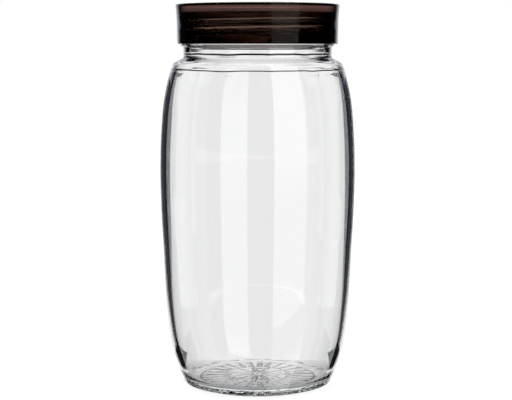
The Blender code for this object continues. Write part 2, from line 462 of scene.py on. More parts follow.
def inner_shoulder(sizes):
    """The inside from the bore to the wall: a step, a thinner shoulder along the outer one, a step."""
    slope = Vector((SHOULDER_RADIUS - NECK_RADIUS, -NECK_RISE)).normalized()
    inward = Vector((slope.y, -slope.x)) * sizes.shoulder_wall
    start = Vector((NECK_RADIUS, NECK_BASE)) + inward
    lower_bore = BORE_RADIUS + BORE_STEP_DEPTH
    upper = start + slope * (lower_bore - start.x) / slope.x
    side = (body_side()[-2] - body_side()[-1]).normalized()
    depth = sizes.shoulder_wall + INNER_SHOULDER_SWELL
    outer = Vector((SHOULDER_RADIUS, SHOULDER_HEIGHT)) + Vector((side.y, -side.x)) * depth
    away = ((start.y - outer.y) * slope.x - (start.x - outer.x) * slope.y) / (
        side.y * slope.x - side.x * slope.y
    )
    lower = outer + side * away
    thin_end = outer + side * (outer.y - WALL_STEP_TOP) / -side.y
    deeper = Vector((side.y, -side.x)) * (sizes.wall - depth)
    thick_start = thin_end + deeper + side * WALL_STEP_LENGTH
    return [
        corner(BORE_RADIUS, BORE_STEP_TOP, STEP_FILLET, INNER_SHOULDER),
        corner(lower_bore, BORE_STEP_TOP - BORE_STEP_HEIGHT, STEP_FILLET, INNER_SHOULDER),
        (upper, INNER_NECK_FILLET, INNER_SHOULDER),
        (lower, INNER_SHOULDER_FILLET, INNER_SHOULDER),
        (thin_end, STEP_FILLET, INNER_SHOULDER),
        (thick_start, STEP_FILLET, INNER_SHOULDER),
    ]


def jar_outline(sizes):
    """Half of the jar's section, from the middle of its underside round to the middle of its floor."""
    side = body_side()
    ring_inner = FOOT_RADIUS - FOOT_RING_WIDTH
    floor_top = RECESS_DEPTH + sizes.floor
    bead_radius = FINISH_RADIUS + BEAD_DEPTH
    under = [
        corner(0.0, PUSH_UP, zone=UNDERSIDE),
        corner(ring_inner - RECESS_SLOPE, RECESS_DEPTH, zone=BEVEL),
        corner(ring_inner, 0.0, FOOT_FILLET, BEVEL),
        corner(FOOT_RADIUS, 0.0, FOOT_FILLET, BEVEL),
    ]
    below_fillet = [point for point in side[2:-1] if point.y < SHOULDER_HEIGHT - SHOULDER_FILLET / 2]
    outside = [(side[0], HEEL_FILLET, BEVEL), (side[1], 0.0, BEVEL)] + stretch(below_fillet)
    outside.append((side[-1], SHOULDER_FILLET, PLAIN))
    neck = [
        corner(NECK_RADIUS, NECK_BASE, NECK_FILLET),
        corner(NECK_RADIUS, BEAD_BOTTOM, BEAD_FILLET),
        corner(bead_radius, BEAD_BOTTOM + BEAD_FLANK, BEAD_FILLET),
        corner(bead_radius, BEAD_TOP),
        corner(FINISH_RADIUS, BEAD_TOP, zone=FINISH),
        corner(FINISH_RADIUS, RIM_HEIGHT, RIM_FILLET),
        corner(BORE_RADIUS, RIM_HEIGHT, RIM_FILLET, BORE),
    ]
    wall = offset_curve(side, sizes.wall)
    reach = sizes.wall * 2
    wall = [point for point in wall if floor_top + reach < point.y < SHOULDER_HEIGHT - reach]
    floor_edge = Vector((HEEL_RADIUS - FLOOR_INSET, floor_top))
    foot_way = (wall[0] - wall[1]).normalized()
    inner_heel = blend(wall[0], foot_way, floor_edge, Vector((-1.0, 0.0)))
    inside = stretch(wall[::-1] + inner_heel[1:-1], INNER_WALL)
    floor = [(floor_edge, 0.0, INNER_FLOOR), corner(0.0, PUSH_UP + sizes.floor)]
    return divided(rounded(under + outside + neck + inner_shoulder(sizes) + inside + floor))


# Nubs under the base, as rings of bricks, with the seeds for how high each one is and how it leans
NUB_INNER_RADIUS = 3.0 * MM
NUB_EDGE = 2.0 * MM
LEAST_NUBS = 5
NUB_MISS_SHARE = 0.45
NUB_LEAN_SHARE = 2.5
NUB_CLEARANCE = 0.05 * MM
NUB_SEED_STEP = 1.37
RING_SEED_STEP = 7.3
FIRST_SEED = 2.7
LEAN_SEED = (11.1, 5.3, 0.9)


def nub_cut(radius, turn, sizes):
    """How deep the underside is cut here, between rings of rounded bricks that lean a little."""
    outer = FOOT_RADIUS - FOOT_RING_WIDTH - RECESS_SLOPE / 2
    pitch = (outer - NUB_INNER_RADIUS) / sizes.nub_rings
    place = (radius - NUB_INNER_RADIUS) / pitch
    if not 0 < place < sizes.nub_rings:
        return 0.0
    ring = int(place)
    along = place - ring
    middle = NUB_INNER_RADIUS + pitch * (ring + 0.5)
    count = max(LEAST_NUBS, round(math.tau * middle / sizes.nub_width))
    step = turn * count + ring / 2
    across = step % 1.0
    width = math.tau * radius / count
    edge = smooth_step(min(along, 1 - along) * pitch / NUB_EDGE)
    side = smooth_step(min(across, 1 - across) * width / NUB_EDGE)
    seed = Vector((math.floor(step) % count, ring * RING_SEED_STEP, FIRST_SEED)) * NUB_SEED_STEP
    uneven = 0.5 + noise.noise(seed)
    lean = noise.noise(seed + Vector(LEAN_SEED)) * (along - 0.5)
    return sizes.nub_depth * (1 - edge * side * (1 - NUB_MISS_SHARE * uneven + NUB_LEAN_SHARE * lean))


# Stippling of the heel and lumps under the base, waves of the inner wall, and unevenness of the steps
STIPPLE_GRAIN = 2.0 * MM
STIPPLE_BIAS = 0.2
STIPPLE_INWARD_SHARE = 0.5
STIPPLE_TOP = 5.4 * MM
STIPPLE_FADE = 2.0 * MM
LUMP_GRAIN = 5.0 * MM
WAVE_HEIGHT = 60.0 * MM
WAVE_WIDTH = 14.0 * MM
WAVE_TOP = 196.0 * MM
UNEVEN_SCALE = 4.0
STEP_REACH = 0.6 * MM


def shape_glass(bm, sizes):
    """Raises the thread, the nubs and the stippling, and makes the inner wall a little uneven."""
    zones = bm.verts.layers.int["zone"]
    thread_start = RIM_HEIGHT - JAR_THREAD_DROP
    above_wall_step = WALL_STEP_TOP + STEP_REACH
    below_bore_step = BORE_STEP_TOP - BORE_STEP_HEIGHT - STEP_REACH
    for vert in bm.verts:
        zone = vert[zones]
        radius = vert.co.to_2d().length
        if zone == PLAIN or radius < MERGE_DISTANCE:
            continue
        turn = math.atan2(vert.co.y, vert.co.x) / math.tau
        out = Vector((vert.co.x, vert.co.y, 0.0)) / radius
        if zone == UNDERSIDE:
            lump = sizes.stipple_depth * noise.noise(vert.co / LUMP_GRAIN)
            vert.co.z = max(NUB_CLEARANCE, vert.co.z + lump + nub_cut(radius, turn, sizes))
        elif zone == BEVEL:
            grain = max(0.0, noise.noise(vert.co / STIPPLE_GRAIN) + STIPPLE_BIAS)
            stipple = grain * sizes.stipple_depth * smooth_step((STIPPLE_TOP - vert.co.z) / STIPPLE_FADE)
            vert.co += (Vector((0.0, 0.0, 1.0)) - out * STIPPLE_INWARD_SHARE) * stipple
        elif zone == FINISH:
            rise = thread_rise(
                turn, vert.co.z, JAR_THREAD_START_TURNS, thread_start, JAR_THREAD_TURNS
            )
            vert.co += out * THREAD_DEPTH * rise
        elif zone == INNER_SHOULDER:
            if not above_wall_step < vert.co.z < below_bore_step:
                vert.co.z += sizes.unevenness * noise.noise(out * UNEVEN_SCALE)
        elif zone == INNER_WALL and vert.co.z < WAVE_TOP:
            place = Vector((vert.co.x / WAVE_WIDTH, vert.co.y / WAVE_WIDTH, vert.co.z / WAVE_HEIGHT))
            fade = smooth_step((WAVE_TOP - vert.co.z) / WAVE_HEIGHT)
            vert.co += out * sizes.waviness * fade * noise.noise(place)


def new_material(name):
    """A material with a Principled shader, and its node tree and shader."""
    look = bpy.data.materials.new(name)
    look.use_nodes = True
    tree = look.node_tree
    return look, tree, tree.nodes["Principled BSDF"]


# Relief of each finish: scales of its waves and its grain, the grain's share, its height, its roughness
GLASS_RELIEF = {
    "wave_scale": 30.0, "grain_scale": 300.0, "grain_share": 0.05,
    "height": 0.02 * MM, "smoothest": 0.0, "roughest": 0.0,
}
PLASTIC_RELIEF = {
    "wave_scale": 60.0, "grain_scale": 900.0, "grain_share": 0.1,
    "height": 0.01 * MM, "smoothest": 0.03, "roughest": 0.06,
}
FOAM_RELIEF = {
    "wave_scale": 40.0, "grain_scale": 1500.0, "grain_share": 0.7,
    "height": 0.08 * MM, "smoothest": 0.5, "roughest": 0.7,
}


def surface_relief_group():
    """One shared node group: soft unevenness and a fine grain, as a height and a roughness mask."""
    name = "surface_relief"
    if name in bpy.data.node_groups:
        return bpy.data.node_groups[name]
    group = bpy.data.node_groups.new(name, "ShaderNodeTree")
    for label, value in (("Wave Scale", 20.0), ("Grain Scale", 400.0), ("Grain Share", 0.3)):
        socket = group.interface.new_socket(label, in_out="INPUT", socket_type="NodeSocketFloat")
        socket.default_value = value
    for label in ("Height", "Mask"):
        group.interface.new_socket(label, in_out="OUTPUT", socket_type="NodeSocketFloat")
    nodes = group.nodes
    links = group.links
    inputs = nodes.new("NodeGroupInput")
    outputs = nodes.new("NodeGroupOutput")
    place = nodes.new("ShaderNodeTexCoord")
    wave = nodes.new("ShaderNodeTexNoise")
    grain = nodes.new("ShaderNodeTexNoise")
    mix = nodes.new("ShaderNodeMix")
    for texture, label in ((wave, "Wave Scale"), (grain, "Grain Scale")):
        links.new(place.outputs["Object"], texture.inputs["Vector"])
        links.new(inputs.outputs[label], texture.inputs["Scale"])
    links.new(inputs.outputs["Grain Share"], mix.inputs["Factor"])
    links.new(wave.outputs["Fac"], mix.inputs["A"])
    links.new(grain.outputs["Fac"], mix.inputs["B"])
    links.new(mix.outputs["Result"], outputs.inputs["Height"])
    links.new(wave.outputs["Fac"], outputs.inputs["Mask"])
    return group


def add_relief(tree, shader, wave_scale, grain_scale, grain_share, height, smoothest, roughest):
    """Places the shared relief in a material: a bump of the given height, and a roughness range."""
    relief = tree.nodes.new("ShaderNodeGroup")
    relief.node_tree = surface_relief_group()
    relief.inputs["Wave Scale"].default_value = wave_scale
    relief.inputs["Grain Scale"].default_value = grain_scale
    relief.inputs["Grain Share"].default_value = grain_share
    bump = tree.nodes.new("ShaderNodeBump")
    bump.inputs["Strength"].default_value = 1.0
    bump.inputs["Distance"].default_value = height
    spread = tree.nodes.new("ShaderNodeMapRange")
    spread.inputs["To Min"].default_value = smoothest
    spread.inputs["To Max"].default_value = roughest
    tree.links.new(relief.outputs["Height"], bump.inputs["Height"])
    tree.links.new(bump.outputs["Normal"], shader.inputs["Normal"])
    tree.links.new(relief.outputs["Mask"], spread.inputs["Value"])
    tree.links.new(spread.outputs["Result"], shader.inputs["Roughness"])
    return relief


GLASS_IOR = 1.5
GLASS_DENSITY = 5.0


def glass_material(sizes):
    """Clear glass that takes its faint tint with depth."""
    look, tree, shader = new_material("clear_glass")
    shader.inputs["Base Color"].default_value = (1.0, 1.0, 1.0, 1.0)
    shader.inputs["Metallic"].default_value = 0.0
    shader.inputs["Transmission Weight"].default_value = 1.0
    shader.inputs["IOR"].default_value = GLASS_IOR
    add_relief(tree, shader, **GLASS_RELIEF)
    depth = tree.nodes.new("ShaderNodeVolumeAbsorption")
    depth.inputs["Color"].default_value = (*sizes.tint, 1.0)
    depth.inputs["Density"].default_value = GLASS_DENSITY
    tree.links.new(depth.outputs["Volume"], tree.nodes["Material Output"].inputs["Volume"])
    return look


PLASTIC_IOR = 1.5
PLASTIC_GLOSS_TINT = (0.2, 0.2, 0.2)

# Painted glow, an emission that stands in for light from the sealing disc in the skirt: its heights, its
# levels, and where it fades at the outline
PAINTED_GLOW_LOW = 236.4 * MM
PAINTED_GLOW_HIGH = 241.4 * MM
PAINTED_GLOW_LEVELS = ((0.0, 0.0), (0.12, 0.45), (0.45, 0.7), (0.62, 1.0), (0.74, 0.6), (0.85, 0.0))
PAINTED_GLOW_EDGE_START = 0.5
PAINTED_GLOW_EDGE_END = 0.68


def plastic_material(sizes):
    """Dark brown plastic that lets a little light through, with a painted glow beside the disc that stands
    in for the disc's light.
    """
    look, tree, shader = new_material("dark_brown_plastic")
    shader.inputs["Base Color"].default_value = (*sizes.color, 1.0)
    shader.inputs["Metallic"].default_value = 0.0
    shader.inputs["Transmission Weight"].default_value = 1.0
    shader.inputs["IOR"].default_value = PLASTIC_IOR
    shader.inputs["Specular Tint"].default_value = (*PLASTIC_GLOSS_TINT, 1.0)
    depth = tree.nodes.new("ShaderNodeVolumeAbsorption")
    depth.inputs["Color"].default_value = (*sizes.depth_color, 1.0)
    depth.inputs["Density"].default_value = sizes.depth_density
    tree.links.new(depth.outputs["Volume"], tree.nodes["Material Output"].inputs["Volume"])
    add_relief(tree, shader, **PLASTIC_RELIEF)
    # Painted glow: an emission in a band of heights, faded at the outline, stands in for the disc's light
    # seen through the skirt.
    place = tree.nodes.new("ShaderNodeTexCoord")
    height = tree.nodes.new("ShaderNodeSeparateXYZ")
    ramp = tree.nodes.new("ShaderNodeValToRGB")
    band = tree.nodes.new("ShaderNodeMapRange")
    band.inputs["From Min"].default_value = PAINTED_GLOW_LOW
    band.inputs["From Max"].default_value = PAINTED_GLOW_HIGH
    tree.links.new(place.outputs["Object"], height.inputs["Vector"])
    tree.links.new(height.outputs["Z"], band.inputs["Value"])
    tree.links.new(band.outputs["Result"], ramp.inputs["Fac"])
    elements = ramp.color_ramp.elements
    for where, _ in PAINTED_GLOW_LEVELS[1:-1]:
        elements.new(where)
    for element, (where, level) in zip(elements, PAINTED_GLOW_LEVELS):
        element.position = where
        element.color = (*[part * level for part in sizes.painted_glow_color], 1.0)
    edge = tree.nodes.new("ShaderNodeLayerWeight")
    dim = tree.nodes.new("ShaderNodeMapRange")
    dim.inputs["From Min"].default_value = PAINTED_GLOW_EDGE_START
    dim.inputs["From Max"].default_value = PAINTED_GLOW_EDGE_END
    fade = tree.nodes.new("ShaderNodeMix")
    fade.data_type = "RGBA"
    fade.inputs["B"].default_value = (0.0, 0.0, 0.0, 1.0)
    tree.links.new(edge.outputs["Facing"], dim.inputs["Value"])
    tree.links.new(dim.outputs["Result"], fade.inputs["Factor"])
    tree.links.new(ramp.outputs["Color"], fade.inputs["A"])
    tree.links.new(fade.outputs["Result"], shader.inputs["Emission Color"])
    shader.inputs["Emission Strength"].default_value = 1.0
    return look


# The disc's faint blotches, and painted shade on the ring under the rim
BLOTCH_SHARE = 0.94
RIM_SHADE_START = BORE_RADIUS - 0.8 * MM
RIM_SHADE_END = BORE_RADIUS + 0.4 * MM
RIM_SHADE_SHARE = 0.9
RIM_SHADE_COLOR_SHARE = 0.12


def disc_material(sizes):
    """Pale foam with faint blotches, and painted shade on the ring under the rim."""
    look, tree, shader = new_material("pale_foam")
    shader.inputs["Metallic"].default_value = 0.0
    relief = add_relief(tree, shader, **FOAM_RELIEF)
    ramp = tree.nodes.new("ShaderNodeValToRGB")
    ramp.color_ramp.elements[0].color = (*[part * BLOTCH_SHARE for part in sizes.color], 1.0)
    ramp.color_ramp.elements[1].color = (*sizes.color, 1.0)
    tree.links.new(relief.outputs["Mask"], ramp.inputs["Fac"])
    place = tree.nodes.new("ShaderNodeTexCoord")
    flat = tree.nodes.new("ShaderNodeVectorMath")
    flat.operation = "MULTIPLY"
    flat.inputs[1].default_value = (1.0, 1.0, 0.0)
    radius = tree.nodes.new("ShaderNodeVectorMath")
    radius.operation = "LENGTH"
    # Painted shade: the disc darkens on the ring that lies under the rim.
    rim_shade = tree.nodes.new("ShaderNodeMapRange")
    rim_shade.interpolation_type = "SMOOTHSTEP"
    rim_shade.inputs["From Min"].default_value = RIM_SHADE_START
    rim_shade.inputs["From Max"].default_value = RIM_SHADE_END
    rim_shade.inputs["To Max"].default_value = RIM_SHADE_SHARE
    dark = tree.nodes.new("ShaderNodeMix")
    dark.data_type = "RGBA"
    dark.inputs["B"].default_value = (*[part * RIM_SHADE_COLOR_SHARE for part in sizes.color], 1.0)
    tree.links.new(place.outputs["Object"], flat.inputs[0])
    tree.links.new(flat.outputs["Vector"], radius.inputs[0])
    tree.links.new(radius.outputs["Value"], rim_shade.inputs["Value"])
    tree.links.new(rim_shade.outputs["Result"], dark.inputs["Factor"])
    tree.links.new(ramp.outputs["Color"], dark.inputs["A"])
    tree.links.new(dark.outputs["Result"], shader.inputs["Base Color"])
    return look


class JAR_OT_make_glass(bpy.types.Operator):
    """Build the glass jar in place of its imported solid"""

    bl_idname = "storage_jar.make_glass"
    bl_label = "Make Glass Jar"

    def execute(self, context):
        sizes = context.scene.jar_glass
        bm = spun(jar_outline(sizes), sizes.segments)
        shape_glass(bm, sizes)
        jar = finished(bm, "clear_jar", glass_material(sizes))
        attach(jar, "jar")
        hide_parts("glass_jar")
        return {"FINISHED"}


def disc_outline(sizes):
    """Half of the disc's section, from the middle of its underside round to the middle of its top."""
    low, high = LINER_BOX
    edge = sizes.edge_fillet
    groove = low.z + sizes.groove_depth
    return divided(
        rounded(
            [
                corner(0.0, low.z),
                corner(BORE_RADIUS - edge, low.z, edge),
                corner(BORE_RADIUS, groove),
                corner(high.x - edge * 2, groove),
                corner(high.x - edge, low.z),
                corner(high.x, low.z + edge / 2, edge / 4),
                corner(high.x, high.z, edge),
                corner(0.0, high.z),
            ]
        )
    )


class JAR_OT_make_disc(bpy.types.Operator):
    """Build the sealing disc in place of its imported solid"""

    bl_idname = "storage_jar.make_disc"
    bl_label = "Make Sealing Disc"

    def execute(self, context):
        sizes = context.scene.sealing_disc
        bm = spun(disc_outline(sizes), sizes.segments)
        disc = finished(bm, "sealing_disc", disc_material(sizes))
        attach(disc, "seal")
        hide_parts("lid_liner")
        return {"FINISHED"}


# Shallow ring in the lid's top
GROOVE_RADIUS = 46.0 * MM
GROOVE_WIDTH = 1.4 * MM
GROOVE_DEPTH = 0.35 * MM


def lid_outline(sizes):
    """Half of the lid's section, from the middle of its top round to the middle of its ceiling."""
    top = LID_BOX[1].z
    bottom = LID_BOX[0].z
    radius = LID_BOX[1].x - LID_FLARE
    ceiling = top - PANEL_THICKNESS
    flare = [
        corner(radius + LID_FLARE * spread, bottom + (top - bottom) * height)
        for height, spread in LID_FLARE_SHARES
    ]
    return divided(
        rounded(
            [
                corner(0.0, top),
                corner(GROOVE_RADIUS, top, GROOVE_DEPTH / 2),
                corner(GROOVE_RADIUS + GROOVE_DEPTH, top - GROOVE_DEPTH),
                corner(GROOVE_RADIUS + GROOVE_WIDTH - GROOVE_DEPTH, top - GROOVE_DEPTH),
                corner(GROOVE_RADIUS + GROOVE_WIDTH, top, GROOVE_DEPTH / 2),
                corner(LID_BOX[1].x, top, LID_TOP_FILLET),
                *flare,
                corner(radius, bottom, LID_LIP_FILLET),
                corner(radius - sizes.skirt_wall, bottom, LID_LIP_FILLET, FINISH),
                corner(radius - sizes.skirt_wall, ceiling, LID_INNER_FILLET),
                corner(0.0, ceiling),
            ]
        )
    )


def shape_lid(bm):
    """Raises the thread inside the skirt, just under the jar's, flank to flank."""
    zones = bm.verts.layers.int["zone"]
    crest = FINISH_RADIUS + THREAD_CLEARANCE
    depth = LID_BORE - crest
    reach = (THREAD_ROOT - THREAD_CREST) / THREAD_DEPTH * (THREAD_DEPTH - THREAD_CLEARANCE)
    drop = THREAD_CREST + reach / 2 + FLANK_CLEARANCE
    start_height = LID_BOX[0].z + LID_THREAD_RISE
    jar_start = RIM_HEIGHT - JAR_THREAD_DROP
    start_turns = JAR_THREAD_START_TURNS + (start_height + drop - jar_start) / THREAD_PITCH
    for vert in bm.verts:
        if vert[zones] != FINISH:
            continue
        radius = vert.co.to_2d().length
        turn = math.atan2(vert.co.y, vert.co.x) / math.tau
        rise = thread_rise(turn, vert.co.z, start_turns, start_height, LID_THREAD_TURNS)
        vert.co -= Vector((vert.co.x, vert.co.y, 0.0)) / radius * depth * rise


class JAR_OT_make_lid(bpy.types.Operator):
    """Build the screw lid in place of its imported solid"""

    bl_idname = "storage_jar.make_lid"
    bl_label = "Make Screw Lid"

    def execute(self, context):
        sizes = context.scene.screw_lid
        bm = spun(lid_outline(sizes), sizes.segments)
        shape_lid(bm)
        lid = finished(bm, "brown_lid", plastic_material(sizes))
        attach(lid, "lid")
        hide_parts("screw_lid")
        return {"FINISHED"}


# Colour that light takes where it has faded, and the levels below which it does
FADED_COLOR = (0.70, 0.77, 1.0)
FADED_LEVEL = 0.4
GLOSS_FADED_LEVEL = 1.2


def level_material(name, through_glass=1.0, faded_level=FADED_LEVEL):
    """Light with the level that the card's vertices hold, stronger through glass, bluer where faded."""
    look = bpy.data.materials.new(name)
    look.use_nodes = True
    tree = look.node_tree
    tree.nodes.remove(tree.nodes["Principled BSDF"])
    glow = tree.nodes.new("ShaderNodeEmission")
    tree.links.new(glow.outputs["Emission"], tree.nodes["Material Output"].inputs["Surface"])
    level = tree.nodes.new("ShaderNodeAttribute")
    level.attribute_name = "level"
    gain = tree.nodes.new("ShaderNodeMath")
    gain.operation = "MULTIPLY"
    path = tree.nodes.new("ShaderNodeLightPath")
    share = tree.nodes.new("ShaderNodeMapRange")
    share.inputs["To Min"].default_value = 1.0
    share.inputs["To Max"].default_value = through_glass
    tone = tree.nodes.new("ShaderNodeMix")
    tone.data_type = "RGBA"
    tone.inputs["A"].default_value = (*FADED_COLOR, 1.0)
    tone.inputs["B"].default_value = (1.0, 1.0, 1.0, 1.0)
    tree.links.new(path.outputs["Is Transmission Ray"], share.inputs["Value"])
    tree.links.new(level.outputs["Fac"], gain.inputs[0])
    tree.links.new(share.outputs["Result"], gain.inputs[1])
    tree.links.new(gain.outputs[0], glow.inputs["Strength"])
    shown = tree.nodes.new("ShaderNodeMapRange")
    shown.inputs["From Max"].default_value = faded_level
    tree.links.new(level.outputs["Fac"], shown.inputs["Value"])
    tree.links.new(shown.outputs["Result"], tone.inputs["Factor"])
    tree.links.new(tone.outputs["Result"], glow.inputs["Color"])
    return look


def card(name, look, rows):
    """A card through rows of points, each with its level, seen only in gloss and through glass."""
    bm = bmesh.new()
    level = bm.verts.layers.float.new("level")
    made = []
    for row in rows:
        made.append([bm.verts.new(place) for place, _ in row])
        for vert, (_, strength) in zip(made[-1], row):
            vert[level] = strength
    for low, high in zip(made, made[1:]):
        for a, b, c, d in zip(low, low[1:], high[1:], high):
            bm.faces.new((a, b, c, d))
    mesh = bpy.data.meshes.new(name)
    bm.to_mesh(mesh)
    bm.free()
    mesh.materials.append(look)
    obj = bpy.data.objects.new(name, mesh)
    bpy.context.scene.collection.objects.link(obj)
    obj.visible_camera = False
    obj.visible_shadow = False
    obj.visible_diffuse = False
    return obj


# Backdrop behind the jar, which fades towards its ends and stops at the height of the lid
BACKDROP_DISTANCE = 1.1
BACKDROP_HALF_WIDTH = 1.0
BACKDROP_LOW = -0.5
BACKDROP_TOP = 0.2386
FADE_STEPS = 6

# Canopy, narrower, which rises behind the backdrop and lights only the glass
CANOPY_GAP = 0.02
CANOPY_OVERLAP = 0.1
CANOPY_DISTANCE = BACKDROP_DISTANCE + CANOPY_GAP
CANOPY_LOW = BACKDROP_TOP - CANOPY_OVERLAP
CANOPY_TOP = 1.6
CANOPY_ANGLES = (math.radians(8.0), math.radians(15.0))

# Card that shows only in gloss, from the lid's height up
GLOSS_DISTANCE = 0.95
GLOSS_LOW = 0.232

# Wings, bands of light at the neck's height, from the side panels towards the backdrop
WING_LOW = 0.2075
WING_TOP = 0.228
WING_FAR = 0.6
WING_NEAR_AXIS = 0.2

# Dark strips close behind the jar's edges: places up their inner edge, and levels across them
STRIP_PLACE = 0.065
STRIP_EDGE = (
    (0.094, -0.8), (0.094, 0.0), (0.0905, 0.020), (0.0845, 0.049), (0.0780, 0.091), (0.0759, 0.130),
    (0.0748, 0.164), (0.0751, 0.191), (0.0751, 0.2035),
)
STRIP_LEVELS = ((0.0, 0.05), (0.006, 0.0), (0.014, 0.0), (0.024, 0.12), (0.031, 0.02), (0.13, 0.0))

# Side panels, from beside the jar to behind it
PANEL_DISTANCE = 0.5
PANEL_NEAR = -0.13
PANEL_FAR = 0.28
PANEL_TOP = 1.2

# Softbox close to the jar, in front of it on the right: heights with their share of its strength
SOFTBOX_DISTANCE = 0.153
SOFTBOX_LEFT = 0.0435
SOFTBOX_RIGHT = 0.215
SOFTBOX_LEVELS = ((-0.4, 1.1), (-0.12, 1.1), (-0.05, 0.56), (0.1, 0.56), (0.15, 0.8), (1.2, 0.8))
SOFTBOX_THROUGH_GLASS = 1.35

# Dark cloths on the floor, in front of the jar and beside its heel
CLOTH_NEAR = -0.068
CLOTH_FAR = -8.0
CLOTH_HALF_WIDTH = 3.0
CLOTH_HEIGHT = 0.5 * MM
SIDE_CLOTH_NEAR = 0.0605
SIDE_CLOTH_FAR = 0.23

# Shade on the floor under the jar: places from front to back, with their levels
SHADE_HEIGHT = 0.2 * MM
SHADE_HALF_WIDTH = 0.056
SHADE_LEVELS = ((-0.068, 0.25), (-0.045, 0.3), (-0.02, 0.4), (0.01, 0.6), (0.045, 0.85))

# Lamp, floor and camera
OVERHEAD_HEIGHT = 1.4
OVERHEAD_SIZE = 2.6
FLOOR_SIZE = 40.0
FLOOR_COLOR = (0.95, 0.95, 0.95)
FLOOR_ROUGHNESS = 0.9
FLOOR_TO_CAMERA = 1.03
FLOOR_SHADE_SHARE = 0.12
CLIP_START = 0.01


def make_floor(studio):
    """A plain pale floor that shows white to the camera and through the glass, and keeps a faint shadow."""
    bm = bmesh.new()
    bmesh.ops.create_grid(bm, x_segments=1, y_segments=1, size=FLOOR_SIZE / 2)
    look = bpy.data.materials.new("pale_floor")
    look.use_nodes = True
    tree = look.node_tree
    shader = tree.nodes["Principled BSDF"]
    shader.inputs["Base Color"].default_value = (*FLOOR_COLOR, 1.0)
    shader.inputs["Roughness"].default_value = FLOOR_ROUGHNESS
    glow = tree.nodes.new("ShaderNodeEmission")
    path = tree.nodes.new("ShaderNodeLightPath")
    strength = tree.nodes.new("ShaderNodeMapRange")
    strength.inputs["To Min"].default_value = FLOOR_TO_CAMERA
    strength.inputs["To Max"].default_value = studio.backdrop_strength
    seen = tree.nodes.new("ShaderNodeMath")
    seen.operation = "MAXIMUM"
    share = tree.nodes.new("ShaderNodeMapRange")
    share.inputs["To Max"].default_value = 1.0 - FLOOR_SHADE_SHARE
    mix = tree.nodes.new("ShaderNodeMixShader")
    tree.links.new(path.outputs["Is Transmission Ray"], strength.inputs["Value"])
    tree.links.new(strength.outputs["Result"], glow.inputs["Strength"])
    tree.links.new(path.outputs["Is Camera Ray"], share.inputs["Value"])
    tree.links.new(share.outputs["Result"], seen.inputs[0])
    tree.links.new(path.outputs["Is Transmission Ray"], seen.inputs[1])
    tree.links.new(seen.outputs[0], mix.inputs["Fac"])
    tree.links.new(shader.outputs["BSDF"], mix.inputs[1])
    tree.links.new(glow.outputs["Emission"], mix.inputs[2])
    tree.links.new(mix.outputs["Shader"], tree.nodes["Material Output"].inputs["Surface"])
    floor = finished(bm, "floor", look)
    floor.visible_glossy = False


def make_world(studio):
    """White to the camera, soft light on matt surfaces, and a dim room in gloss and through glass."""
    world = bpy.data.worlds.new("studio")
    world.use_nodes = True
    bpy.context.scene.world = world
    tree = world.node_tree
    background = tree.nodes["Background"]
    path = tree.nodes.new("ShaderNodeLightPath")
    bent = tree.nodes.new("ShaderNodeMath")
    bent.operation = "MAXIMUM"
    dim = tree.nodes.new("ShaderNodeMapRange")
    dim.inputs["To Min"].default_value = studio.room_light
    dim.inputs["To Max"].default_value = studio.surround
    level = tree.nodes.new("ShaderNodeMath")
    level.operation = "MAXIMUM"
    tree.links.new(path.outputs["Is Glossy Ray"], bent.inputs[0])
    tree.links.new(path.outputs["Is Transmission Ray"], bent.inputs[1])
    tree.links.new(bent.outputs[0], dim.inputs["Value"])
    tree.links.new(dim.outputs["Result"], level.inputs[0])
    tree.links.new(path.outputs["Is Camera Ray"], level.inputs[1])
    tree.links.new(level.outputs[0], background.inputs["Strength"])
    background.inputs["Color"].default_value = (1.0, 1.0, 1.0, 1.0)


def make_lamp(studio):
    """One wide soft lamp over the jar."""
    data = bpy.data.lights.new("overhead", "AREA")
    data.shape = "SQUARE"
    data.size = OVERHEAD_SIZE
    data.energy = studio.overhead_strength * math.pi * OVERHEAD_SIZE**2
    lamp = bpy.data.objects.new("overhead", data)
    lamp.location = (0.0, 0.0, OVERHEAD_HEIGHT)
    lamp.visible_camera = False
    lamp.visible_transmission = False
    bpy.context.scene.collection.objects.link(lamp)


def make_camera(studio):
    """A camera in front of the jar, which looks a little down."""
    camera = bpy.data.objects.new("camera", bpy.data.cameras.new("camera"))
    camera.data.lens = studio.lens
    camera.data.clip_start = CLIP_START
    camera.location = (-studio.offset, -studio.distance, studio.height)
    camera.rotation_euler = Euler((math.pi / 2 - studio.tilt, 0.0, 0.0))
    bpy.context.scene.collection.objects.link(camera)
    bpy.context.scene.camera = camera
    return camera


def upright(name, look, near, far, low, high, level):
    """An upright card between two places on the floor plan, with one level all over."""
    return card(
        name, look, [[((*place, height), level) for place in (near, far)] for height in (low, high)]
    )


